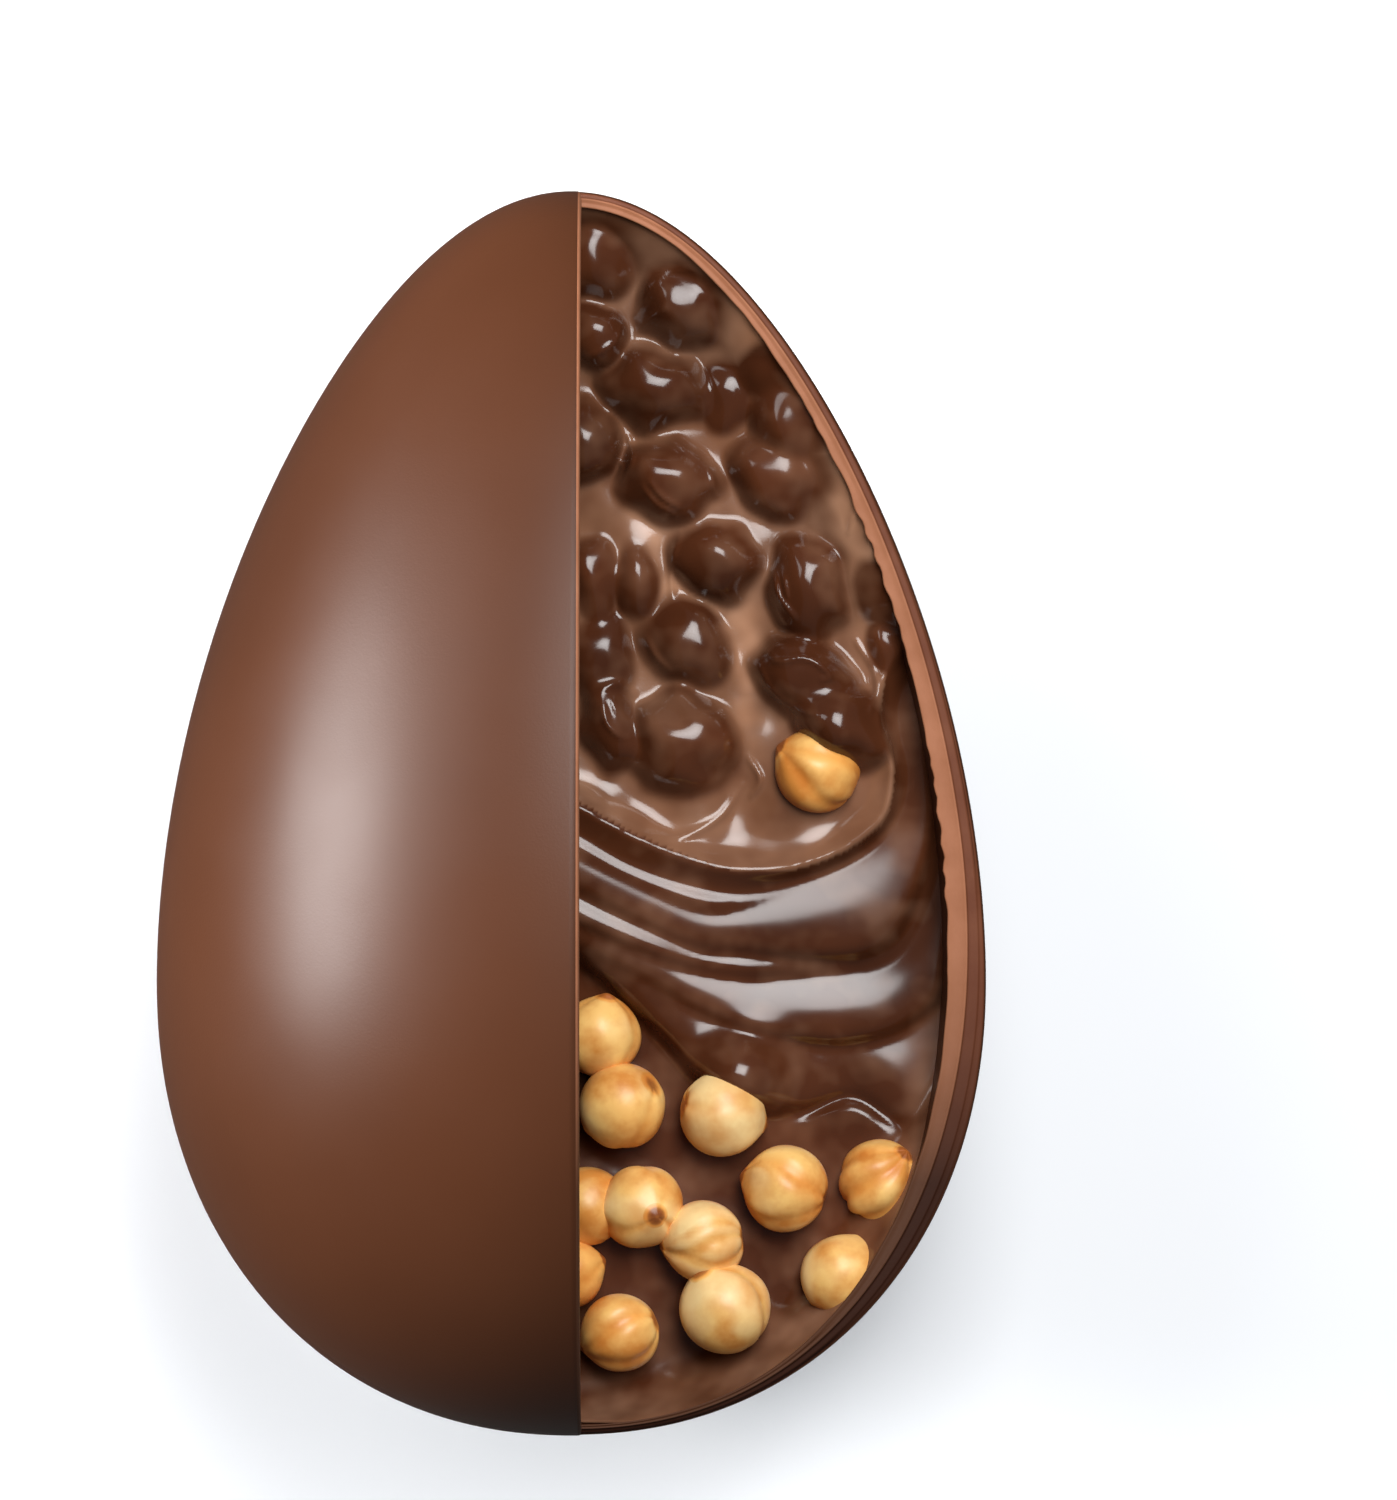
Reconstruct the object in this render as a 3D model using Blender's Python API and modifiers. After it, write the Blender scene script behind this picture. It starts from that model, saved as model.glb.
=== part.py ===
"""Moulded chocolate egg, opened at the front right, with a nut cream inside and roasted hazelnuts in it.

The egg lies on its back. Its axis runs along Y, with the blunt end at -Y and the pointed end at +Y, and the
opened side faces up. Two half shells meet at the rim plane, which is level. The back one is whole. Of the front
one only the left part is there, up to a straight cut along the axis. Sizes below are in millimetres, and MM turns
them into Blender's metres. Distances along the egg are measured from its blunt end, and depths from the rim plane.
"""

import math

import bmesh
import bpy
from mathutils import Matrix, Vector

MM = 0.001

# The whole egg
LENGTH = 195.0
WIDTH = 130.0
WIDEST_AT = 0.366 * LENGTH
BLUNT_POWER = 2.13
TAPER = 0.168
TAPER_POWER = 1.7
REST_FLAT = 2.5  # how much the round underside is flattened
RIM_HEIGHT = WIDTH / 2 - REST_FLAT

# The shells
WALL_ENDS = 1.6
WALL_BELLY = 6.2
WALL_THICKEST_AT = 0.30  # share of the length
WALL_FALL = 1.5
LEDGE_SHARE = 0.42  # outer share of the wall that is stepped down at the rim
LEDGE_STEP = 0.9
CUT_AT = 1.5  # the front shell's cut edge, right of the axis
GAP = 0.3

# The filling: a bed at the blunt end, folded cream up to a raised lip, then a pool with lumps in it
BED_DEPTH = 10.0
FOLD_DEPTH = 5.2
POOL_DEPTH = 7.6
SWIRL_AT = 27.0  # how far right of the axis the cream's edge and the lip come closest to the blunt end
EDGE_AT = 50.0  # where the folded cream's edge is there, from the blunt end
EDGE_BEND = 5.0  # how gently that edge turns up towards the left
EDGE_RAMP = 8.0
LIP_AT = 88.0
LIP_CURVES = (0.018, 0.033)  # left and right of the swirl, per millimetre
LIP_RAMP = 6.0
LIP_RELIEF = 2.2
LIP_WIDTH = 3.4
FOLD_COUNT = 3
FOLD_RELIEF = 1.3
BANK_HEIGHT = 7.5  # the cream rises to the wall round the bed
BANK_WIDTH = 9.0
BANK_ENDS_AT = 75.0
BANK_FADE = 50.0
HIGHEST = 1.2  # the filling stays this far under the rim plane
BLOCK_BOTTOM = -10.0  # below the floor, before the block is cut to the cavity
GRID_STEP = 4.3

# Mesh fineness
PROFILE_STEPS = (10, 13)  # blunt part, pointed part
TURN_STEPS = 36
NUT_SEGMENTS = 11
NUT_RINGS = 7

# Bare hazelnuts, each below the ones after it that it touches: right of the axis, from the blunt end, centre below
# the rim plane, width, tip's direction
HAZELNUTS = (
    (4.4, 62.4, 7.6, 12.9, 80),
    (7.9, 51.5, 5.4, 13.8, 250),
    (23.6, 50.2, 6.4, 13.6, 5),
    (33.6, 38.6, 6.0, 13.5, 165),
    (48.4, 39.7, 7.6, 13.0, 50),
    (2.6, 35.7, 8.2, 12.6, 130),
    (-0.6, 25.2, 7.2, 11.4, 20),
    (10.9, 35.7, 5.9, 13.1, 340),
    (20.8, 30.2, 5.3, 12.8, 170),
    (23.9, 19.7, 4.4, 14.5, 115),
    (42.6, 24.6, 6.6, 13.2, 60),
    (7.6, 15.9, 5.8, 12.5, 200),
    (38.6, 104.3, 6.8, 13.6, 150),
)
NUT_HEIGHT = 0.95  # of its width
TIP_LENGTH = 0.10  # of its radius
TIP_POWER = 8
TIP_RISE = 0.15  # of the tip's level reach

# Nuts under the cream's skin: right of the axis, from the blunt end, half width across, half width along
LUMPS = (
    (2.9, 184.0, 5.6, 5.2),
    (17.3, 176.9, 7.4, 6.2),
    (3.2, 172.0, 5.0, 5.0),
    (13.1, 163.9, 7.8, 6.0),
    (31.0, 166.7, 3.6, 4.2),
    (33.6, 159.2, 6.2, 6.0),
    (32.7, 149.8, 7.6, 5.6),
    (3.2, 156.0, 6.0, 6.0),
    (14.7, 149.5, 8.0, 6.0),
    (22.0, 138.0, 6.7, 5.8),
    (37.1, 132.8, 5.4, 8.0),
    (4.6, 137.5, 4.6, 5.0),
    (10.6, 130.5, 5.0, 5.0),
    (18.6, 122.3, 6.8, 5.8),
    (36.8, 118.4, 8.0, 6.2),
    (5.3, 112.9, 4.4, 9.0),
    (18.3, 108.7, 7.5, 6.8),
    (48.6, 132.5, 3.6, 7.0),
)
LUMP_HEIGHT = 5.0
LUMP_FALL = 1.3
LUMP_REACH = 4.0  # a lump has no effect beyond this, as the square of its half widths
HIDDEN_LUMPS_SHIFT = (6.0, 9.0)  # how far the mirrored ones are moved left and towards the blunt end
LUMP_MARGIN = 2.0

SHELL_COLOUR = (0.19, 0.070, 0.030)
FILLING_COLOUR = (0.070, 0.021, 0.008)
NUT_COLOUR = (0.68, 0.31, 0.095)


def clear_scene():
    for obj in list(bpy.data.objects):
        bpy.data.objects.remove(obj)


def collection(name):
    made = bpy.data.collections.new(name)
    bpy.context.scene.collection.children.link(made)
    return made


def material(name, colour, roughness):
    made = bpy.data.materials.new(name)
    made.use_nodes = True
    shader = made.node_tree.nodes["Principled BSDF"]
    shader.inputs["Base Color"].default_value = (*colour, 1)
    shader.inputs["Roughness"].default_value = roughness
    shader.inputs["Metallic"].default_value = 0
    return made


def add(mesh, name, group, finish=None):
    """An object of this mesh, in this collection."""
    obj = bpy.data.objects.new(name, mesh)
    group.objects.link(obj)
    if finish:
        mesh.materials.append(finish)
    return obj


def helper(obj):
    obj.hide_render = True
    obj.display_type = "WIRE"
    return obj


def boolean(obj, other, operation="DIFFERENCE"):
    modifier = obj.modifiers.new(f"{operation.lower()} {other.name}", "BOOLEAN")
    modifier.operation = operation
    modifier.object = other


def outline(share):
    """(radius, distance from the blunt end) at this share of the way along the outline, blunt end first."""
    blunt_share = PROFILE_STEPS[0] / sum(PROFILE_STEPS)
    if share < blunt_share:
        turn = math.pi / 2 * (1 - share / blunt_share)
        radius = max(math.cos(turn), 0) ** (2 / BLUNT_POWER)
        return WIDTH / 2 * radius, WIDEST_AT * (1 - math.sin(turn) ** (2 / BLUNT_POWER))
    turn = math.pi / 2 * (share - blunt_share) / (1 - blunt_share)
    taper = 1 - TAPER * math.sin(turn) ** TAPER_POWER
    return WIDTH / 2 * max(math.cos(turn), 0) * taper, WIDEST_AT + (LENGTH - WIDEST_AT) * math.sin(turn)


def wall(along):
    """The shell's thickness at this distance from the blunt end."""
    share = max(along, 0) / LENGTH / WALL_THICKEST_AT
    return WALL_ENDS + (WALL_BELLY - WALL_ENDS) * (share * math.exp(1 - share)) ** WALL_FALL


def inset_outline(wall_share, extra):
    """The outline's points, pointed end first, moved inwards by a share of the wall and an extra distance."""
    count = sum(PROFILE_STEPS)
    points = [Vector(outline(i / count)) for i in range(count + 1)]
    moved = []
    for i, point in enumerate(points):
        along = points[min(i + 1, count)] - points[max(i - 1, 0)]
        inwards = Vector((-along.y, along.x)).normalized()
        if i == 0:
            inwards = Vector((0, 1))
        if i == count:
            inwards = Vector((0, -1))
        moved.append(point + inwards * (wall_share * wall(point.y) + extra))
    return moved[::-1]


def turned_egg(name, group, wall_share=0.0, extra=0.0, finish=None):
    """A solid egg of revolution, lying along Y at the rim plane's height."""
    mesh = bpy.data.meshes.new(name)
    points = inset_outline(wall_share, extra)
    points[0].x = points[-1].x = 0
    verts = [(p.x * MM, 0, (p.y - LENGTH / 2) * MM) for p in points]
    mesh.from_pydata(verts, [(i, i + 1) for i in range(len(verts) - 1)], [])
    obj = add(mesh, name, group, finish)
    obj.location.z = RIM_HEIGHT * MM
    obj.rotation_euler.x = -math.pi / 2
    screw = obj.modifiers.new("turn", "SCREW")
    screw.steps = screw.render_steps = TURN_STEPS
    screw.use_merge_vertices = True
    screw.merge_threshold = 0.00001
    return obj


def box(name, group, lowest, highest):
    """A box cutter between two corners, in millimetres."""
    lowest, highest = Vector(lowest) * MM, Vector(highest) * MM
    mesh = bpy.data.meshes.new(name)
    form = bmesh.new()
    bmesh.ops.create_cube(form, size=1)
    size = Matrix.Diagonal((*(highest - lowest), 1))
    bmesh.ops.transform(form, matrix=Matrix.Translation((lowest + highest) / 2) @ size, verts=form.verts)
    form.to_mesh(mesh)
    form.free()
    return helper(add(mesh, name, group))


def soft_step(value):
    """0 below 0, 1 above 1, and smooth between."""
    value = min(max(value, 0), 1)
    return value * value * (3 - 2 * value)


def cream_edge(across):
    """Where the folded cream ends above the lower bed, as a distance from the blunt end."""
    return EDGE_AT + EDGE_BEND * math.log(1 + math.exp((SWIRL_AT - across) / EDGE_BEND))


def pool_lip(across):
    """Where the upper pool's lip runs, as a distance from the blunt end."""
    from_middle = across - SWIRL_AT
    return LIP_AT + LIP_CURVES[from_middle > 0] * from_middle**2


def all_lumps():
    """The lumps that show, and as many under the front shell, out of step with them."""
    left, back = HIDDEN_LUMPS_SHIFT
    for across, along, half_across, half_along in LUMPS:
        yield across, along, half_across, half_along
        if cavity_radius(along - back) > across + left + half_across + LUMP_MARGIN:
            yield -across - left, along - back, half_across, half_along


def cavity_radius(along):
    """The cavity's radius at this distance from the blunt end, from the outline's nearest points."""
    points = inset_outline(1.0, GAP)[::-1]
    for low, high in zip(points, points[1:]):
        if low.y <= along <= high.y:
            return low.x + (high.x - low.x) * (along - low.y) / (high.y - low.y)
    return 0.0


def surface_depth(across, along, lumps, radius):
    """How far the filling's surface lies below the rim plane."""
    edge = cream_edge(across)
    lip = max(pool_lip(across), edge + EDGE_RAMP)
    to_fold = soft_step((along - edge) / EDGE_RAMP + 0.5)
    to_pool = soft_step((along - lip) / LIP_RAMP + 0.5)
    level = -BED_DEPTH + (BED_DEPTH - FOLD_DEPTH) * to_fold - (POOL_DEPTH - FOLD_DEPTH) * to_pool
    fold = math.sin(math.pi * FOLD_COUNT * (along - edge) / (lip - edge)) ** 2
    level += FOLD_RELIEF * fold * to_fold * (1 - to_pool)
    level += LIP_RELIEF * math.exp(-(((along - lip) / LIP_WIDTH) ** 2))
    for lump_across, lump_along, half_across, half_along in lumps:
        reach = ((across - lump_across) / half_across) ** 2 + ((along - lump_along) / half_along) ** 2
        level += LUMP_HEIGHT * math.exp(-LUMP_FALL * reach) if reach < LUMP_REACH else 0
    bank = BANK_HEIGHT * math.exp(-max(radius - abs(across), 0) / BANK_WIDTH)
    bank *= soft_step((BANK_ENDS_AT - along) / BANK_FADE)
    return min(level + bank, -HIGHEST)


def make_filling(group, cutters, finish, pockets):
    """The cream: a block with the relief on top, cut to the cavity and round the bare nuts."""
    count_across = round(WIDTH / GRID_STEP)
    count_along = round(LENGTH / GRID_STEP)
    mesh = bpy.data.meshes.new("filling")
    form = bmesh.new()
    bmesh.ops.create_grid(form, x_segments=count_across, y_segments=count_along, size=0.5)
    lumps = list(all_lumps())
    for vert in form.verts:
        across = vert.co.x * WIDTH
        along = (vert.co.y + 0.5) * LENGTH
        level = surface_depth(across, along, lumps, cavity_radius(along))
        vert.co = Vector((across, along - LENGTH / 2, RIM_HEIGHT + level)) * MM
    made = bmesh.ops.extrude_face_region(form, geom=form.faces[:])
    for vert in made["geom"]:
        if isinstance(vert, bmesh.types.BMVert):
            vert.co.z = BLOCK_BOTTOM * MM
    bmesh.ops.recalc_face_normals(form, faces=form.faces)
    form.to_mesh(mesh)
    form.free()
    filling = add(mesh, "filling", group, finish)
    boolean(filling, helper(turned_egg("filling_limit", cutters, 1.0, GAP)), "INTERSECT")
    for pocket in pockets:
        boolean(filling, pocket)


def nut_mesh(name, width, tip_turn, swell):
    """A hazelnut kernel: a slightly flattened ball that draws out into a short tip."""
    mesh = bpy.data.meshes.new(name)
    form = bmesh.new()
    bmesh.ops.create_uvsphere(form, u_segments=NUT_SEGMENTS, v_segments=NUT_RINGS, radius=1)
    turn = math.radians(tip_turn)
    tip = Vector((math.cos(turn), math.sin(turn), TIP_RISE)).normalized()
    for vert in form.verts:
        towards_tip = max(vert.co.dot(tip), 0)
        out = vert.co * (width / 2 + swell)
        out += tip * (TIP_LENGTH * width / 2 * towards_tip**TIP_POWER)
        out.z *= NUT_HEIGHT
        vert.co = out * MM
    form.to_mesh(mesh)
    form.free()
    return mesh


def make_hazelnuts(group, cutters, finish):
    """The bare nuts. Returns a slightly larger copy of each, which cuts its pocket in the filling."""
    limit = helper(turned_egg("nut_limit", cutters, 1.0, GAP))
    nuts, pockets = [], []
    for number, (across, along, depth, width, tip_turn) in enumerate(HAZELNUTS, 1):
        name = f"hazelnut_{number:02d}"
        nut = add(nut_mesh(name, width, tip_turn, 0), name, group, finish)
        pocket = helper(add(nut_mesh(name + "_pocket", width, tip_turn, GAP), name + "_pocket", cutters))
        nut.location = pocket.location = Vector((across, along - LENGTH / 2, RIM_HEIGHT - depth)) * MM
        nut.data.shade_smooth()
        if across + width / 2 + 1 > cavity_radius(along):
            boolean(nut, limit, "INTERSECT")
        for lower in nuts:
            if (lower.location - nut.location).length < (width + GAP) * MM:
                boolean(lower, pocket)
        nuts.append(nut)
        pockets.append(pocket)
    return pockets


def make_shells(group, cutters, finish):
    """Two half shells of one wall, which meet in a step at the rim plane."""
    cavity = helper(turned_egg("cavity", cutters, 1.0))
    far = WIDTH
    above = box("above_rim", cutters, (-far, -far, RIM_HEIGHT), (far, far, RIM_HEIGHT + far))
    floor = box("floor", cutters, (-far, -far, -far), (far, far, 0))
    ledge = helper(turned_egg("ledge", cutters, 0.0, -1.0))
    boolean(ledge, helper(turned_egg("ledge_inside", cutters, LEDGE_SHARE)))
    boolean(
        ledge,
        box("below_ledge", cutters, (-far, -far, -far), (far, far, RIM_HEIGHT - LEDGE_STEP)),
    )
    back = turned_egg("shell_back", group, finish=finish)
    for cutter in (cavity, above, floor, ledge):
        boolean(back, cutter)

    front = turned_egg("shell_front", group, finish=finish)
    under = box("under_front", cutters, (-far, -far, -far), (far, far, RIM_HEIGHT - LEDGE_STEP + GAP))
    tongue = helper(turned_egg("tongue", cutters, LEDGE_SHARE, -GAP))
    boolean(
        tongue,
        box("tongue_top", cutters, (-far, -far, RIM_HEIGHT + GAP), (far, far, RIM_HEIGHT + far)),
    )
    opened = box("opened", cutters, (CUT_AT, -far, -far), (far, far, RIM_HEIGHT + far))
    for cutter in (cavity, under, tongue, opened):
        boolean(front, cutter)


def main():
    clear_scene()
    egg = collection("chocolate_egg")
    cutters = collection("cutters")
    shell_finish = material("milk_chocolate", SHELL_COLOUR, 0.4)
    filling_finish = material("nut_cream", FILLING_COLOUR, 0.2)
    nut_finish = material("roasted_hazelnut", NUT_COLOUR, 0.45)
    pockets = make_hazelnuts(egg, cutters, nut_finish)
    make_filling(egg, cutters, filling_finish, pockets)
    make_shells(egg, cutters, shell_finish)


main()
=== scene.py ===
"""Looks of the opened chocolate egg: two moulded half shells, nut cream and bare roasted hazelnuts.

The egg lies along Y, blunt end at -Y, with its rim plane level and its opened side up. Sizes in here are
in millimetres unless said otherwise. "Across" is right of the egg's axis, "along" is measured from its
blunt end, and heights are measured from the rim plane, so what lies inside the back shell is below zero.
"""

import math

import bmesh
import bpy
import numpy as np
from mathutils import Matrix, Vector


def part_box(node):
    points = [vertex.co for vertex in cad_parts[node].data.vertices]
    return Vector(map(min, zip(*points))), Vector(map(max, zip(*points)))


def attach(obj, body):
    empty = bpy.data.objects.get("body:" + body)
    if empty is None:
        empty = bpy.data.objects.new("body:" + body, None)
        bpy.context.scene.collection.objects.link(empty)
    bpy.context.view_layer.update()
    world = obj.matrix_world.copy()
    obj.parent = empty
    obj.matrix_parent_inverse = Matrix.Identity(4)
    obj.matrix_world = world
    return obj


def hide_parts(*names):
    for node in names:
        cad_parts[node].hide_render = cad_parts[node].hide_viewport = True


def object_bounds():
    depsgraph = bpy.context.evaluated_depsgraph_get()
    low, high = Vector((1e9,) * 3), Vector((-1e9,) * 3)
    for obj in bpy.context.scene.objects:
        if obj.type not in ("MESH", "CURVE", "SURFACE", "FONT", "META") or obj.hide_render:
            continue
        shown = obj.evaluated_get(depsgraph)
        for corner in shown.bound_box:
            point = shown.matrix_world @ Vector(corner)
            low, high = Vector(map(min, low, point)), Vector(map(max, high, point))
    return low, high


MM = 0.001

# The egg, as in the frame
BLUNT_POWER = 2.13
TAPER = 0.168
TAPER_POWER = 1.7
WIDEST_SHARE = 0.366
WALL_ENDS = 1.6
WALL_BELLY = 6.2
WALL_THICKEST_AT = 0.30
WALL_FALL = 1.5
CUT_AT = 1.5
SEAM_GAP = 0.3

# The back shell's rim: which rows of its section are the broad face, the stepped band outside it and the
# uneven inner edge, the length of that edge's ripple, and where along the egg the ripple fades in and out
RIM_FACE = range(11, 21)
RIM_BAND = range(3, 11)
RIM_INNER_EDGE = range(17, 22)
FULL_RIM_WALL = 3.0  # a thinner wall gets a smaller section
RIPPLE_LENGTH = 4.6
RIPPLE_FADES = ((60, 85), (185, 165))

# The cream's levels, and its slow swells as rise, length and seed
BED = -10.0
POOL = -7.4
HIGHEST_CREAM = -0.9
BED_SWELLS = ((0.3, 19, 5),)
POOL_SWELLS = ((0.45, 16, 3), (0.16, 7, 4))

# Lines of the swirl, as (across, along) points from left to right: first the lip's crest, then the creases
# between the folds, last the edge where the folded cream ends above the bed
FOLD_CENTRE = (27.0, 112.0)
LIP = (
    (-14, 108), (-6, 103), (1.5, 99), (7, 95.8), (15, 92), (23.7, 88.9), (31.6, 88.2), (37.8, 89.3),
    (44, 92), (48.8, 95.9), (50.5, 100.7), (50.5, 106.5), (48.8, 112.6), (49.5, 119), (53, 124),
)
CREASES = (
    ((-14, 103), (-6, 98), (1.5, 93.7), (9.2, 89.3), (18, 86.3), (27, 84.9), (36, 87.1), (44, 90.4),
     (48.8, 94.1), (52.1, 98.5), (52.9, 104.3), (51.6, 110), (51.8, 116), (55.5, 121)),
    ((-14, 101), (-6, 95.5), (1.5, 91.1), (11.4, 86.2), (20.2, 82.8), (27, 83.1), (35.6, 86.0), (44, 89.9),
     (49.2, 93.6), (52.5, 98), (53.3, 104.3), (52, 110), (52.2, 116), (56, 121)),
    ((-14, 95), (-6, 89.5), (1.7, 84.5), (13.6, 78.8), (20.2, 76.1), (27, 75.4), (35.6, 74.4), (42.2, 74.1),
     (46.4, 74.6), (50, 76.4), (52.8, 79.8), (54.9, 85), (56.6, 91.4), (57.2, 98.4), (56.6, 106.5),
     (56.8, 114), (59, 120)),
    ((-14, 90), (-6, 84.8), (1.7, 79.6), (15.8, 74.1), (26.8, 71.9), (35.6, 72.3), (42.4, 72.8),
     (47.2, 73.4), (51, 75.4), (54, 79), (56.2, 84.4), (57.6, 91), (58, 98.4), (57.2, 106.5), (57.4, 114),
     (60, 120)),
    ((-14, 85), (-6, 80.5), (1.5, 76.6), (7, 73.6), (13.2, 70.4), (18, 67.3), (24.6, 64.2), (33.4, 61.8),
     (42.2, 60.9), (50.2, 62.5), (55.4, 65.5), (58.5, 68.6), (59.4, 73), (60, 82), (61, 94), (61, 106),
     (61, 120)),
    ((-14, 84), (-6, 79.5), (1.6, 74.5), (8.4, 68.3), (14.7, 62), (20.1, 56.2), (29.5, 51.2), (35.8, 50.2),
     (43.7, 52.6), (49.9, 49.2), (55.4, 46), (60, 50), (64, 60), (66, 80), (66, 100), (66, 120)),
)
CREASE_LEVELS = (-6.6, -6.2, -6.9, -7.2, -7.8, -9.6)
CREASE_GAP, CREASE_GAP_GROWS = 0.4, 0.15  # the least distance from the lip of the first one, and of each more
FOLD_SLOPES = (0.0, 0.26, 0.16, 0.30, 0.18, 0.16)  # a fold's rise above its creases, for its width
FOLD_MOST = 3.3
FOLD_END = 0.9  # the last fold drops to the bed over this distance
FOLD_LEAN = 0.13  # the folds fall away to the right, and the bed to the left
FOLD_LEAN_MOST = 2.6
BED_LEAN = 0.05
CREST_SHARE = 0.80  # a fold is highest this far from its inner crease to its outer one
OVER_NUT = (26.8, 55.4, 6.8, 5.4)  # the last fold lies over a nut: across, along, reach, lift

# The lip's level, how it falls into the pool, and the directions in which lip and folds end in the pool. A
# direction is in degrees round FOLD_CENTRE: 0 is towards the blunt end, and right is positive
LIP_LEVEL = -3.6
LIP_FALL, LIP_FALL_POWER = 2.2, 1.25
LIP_ENDS = (125, 95)
FOLDS_END_RIGHT = (98, 122)
FOLDS_END_LEFT = (88, 112)

# The cream climbs the wall: steeply at the blunt end, and to the rim's edge in a slope at the pointed end
LOW_BANK_RISE, LOW_BANK_REACH, LOW_BANK_FADES = 9.0, 4.2, (75, 30)
HIGH_BANK_TOP, HIGH_BANK_SLOPE, HIGH_BANK_FADES = -1.2, 0.75, (116, 132)
LOW_BANK_FILLET, HIGH_BANK_FILLET = 2.0, 1.6
NO_BANK = BED - 4  # below all cream, where a bank has no share

# A thin rim of cream round each bare nut, from this share of the nut's width outwards
MENISCUS_FROM, MENISCUS_RISE, MENISCUS_REACH = 0.47, 0.2, 1.1

# Nuts under the cream's skin: across, along, half width, half length, turn in degrees, height of the top, and
# how softly the skin runs into the pool round it
LUMPS = (
    (2.8, 184.6, 7.4, 6.6, 0, -2.4, 1.8),
    (17.4, 177.1, 7.4, 6.6, -22, -1.5, 1.1),
    (3.9, 172.5, 5.6, 4.6, 0, -2.4, 1.2),
    (12.9, 164.3, 8.9, 6.4, -12, -1.6, 1.6),
    (24.5, 163.0, 5.0, 5.6, 0, -5.4, 3.0),
    (31.0, 166.8, 5.0, 4.8, -20, -2.8, 1.4),
    (34.2, 159.0, 6.5, 6.9, 25, -1.2, 1.1),
    (32.2, 150.6, 8.2, 6.9, -14, -2.4, 1.4),
    (1.6, 155.8, 6.0, 6.6, 0, -1.8, 1.2),
    (15.0, 149.7, 8.1, 6.4, -12, -1.5, 1.2),
    (22.8, 137.3, 7.2, 6.2, -20, -1.8, 1.2),
    (37.2, 133.0, 6.1, 8.6, 6, -1.4, 1.2),
    (9.9, 133.8, 3.4, 6.4, 5, -4.4, 2.6),
    (3.5, 134.5, 4.2, 6.8, 0, -4.2, 2.6),
    (18.1, 124.0, 7.4, 6.8, -30, -3.0, 2.2),
    (36.8, 119.0, 8.6, 6.8, -28, -1.5, 1.2),
    (42.2, 111.4, 8.8, 5.8, -31, 0.9, 1.0),
    (4.2, 122.0, 5.6, 7.6, -8, -4.2, 2.6),
    (6.0, 111.5, 4.8, 8.2, 15, -2.6, 1.6),
    (17.3, 108.5, 9.1, 8.0, 0, -0.9, 1.4),
    (48.6, 132.4, 3.8, 5.4, 20, -3.8, 2.0),
    (49.6, 124.0, 3.4, 5.0, 15, -4.8, 2.4),
)
LUMP_FILLET = 1.35
LUMP_DEPTH = 1.15  # how deep a nut shape goes, as a share of its smaller half size
LUMP_FOOT = 0.6  # and at least this far below the pool's fillet
LUMP_ROUNDNESS = 0.86
LUMP_REACH = 1.6  # a nut shape has no effect beyond this share of its half size
LUMP_WARP, LUMP_WARP_LENGTH = 0.7, 9
LUMP_COVER = (1.30, 0.80)  # dark cream thins out from the second to the first, as shares of the half size
HIDDEN_SHIFT = (-9, -7)  # the hidden lumps against the mirrored ones
HIDDEN_FROM = 96
SKIN_OVER_NUT = (43.5, 110.0, 9.0, 2.0)  # the skin may rise above the rim here: across, along, reach, rise

# Where the pale nut paste shows through the pool: across, along, half width, half length, turn in degrees,
# share
PALE_PLACES = (
    (17.6, 131.6, 6.6, 2.4, -24, 0.85), (27.4, 124.0, 2.8, 8.2, 6, 1.0), (26.6, 113.0, 3.4, 3.6, 40, 0.9),
    (48.4, 129.0, 3.2, 6.4, 16, 0.75), (43.4, 143.0, 1.8, 4.2, 20, 0.9), (11.3, 143.4, 2.2, 4.6, 25, 0.85),
    (29.6, 171.0, 3.0, 3.6, 30, 0.45), (10.0, 168.2, 2.6, 3.0, 0, 0.45), (22.6, 152.4, 3.2, 4.2, 0, 0.40),
    (6.0, 102.6, 6.0, 3.0, -30, 0.35), (33.6, 95.2, 8.0, 2.4, 4, 0.35), (44.6, 117.4, 2.4, 4.6, 10, 0.55),
)
PALE_ELSEWHERE = 0.34  # the share where none of these places is
PALE_WARP, PALE_WARP_LENGTH = 1.2, 8
# Painted light on the high bank, which lies in shade by the rim, and a painted reflection on the low bank at
# the blunt end, as shares of the pale colour
PAINTED_LIGHT_HIGH_BANK, PAINTED_REFLECTION_LOW_BANK = 0.35, 0.28

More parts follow.
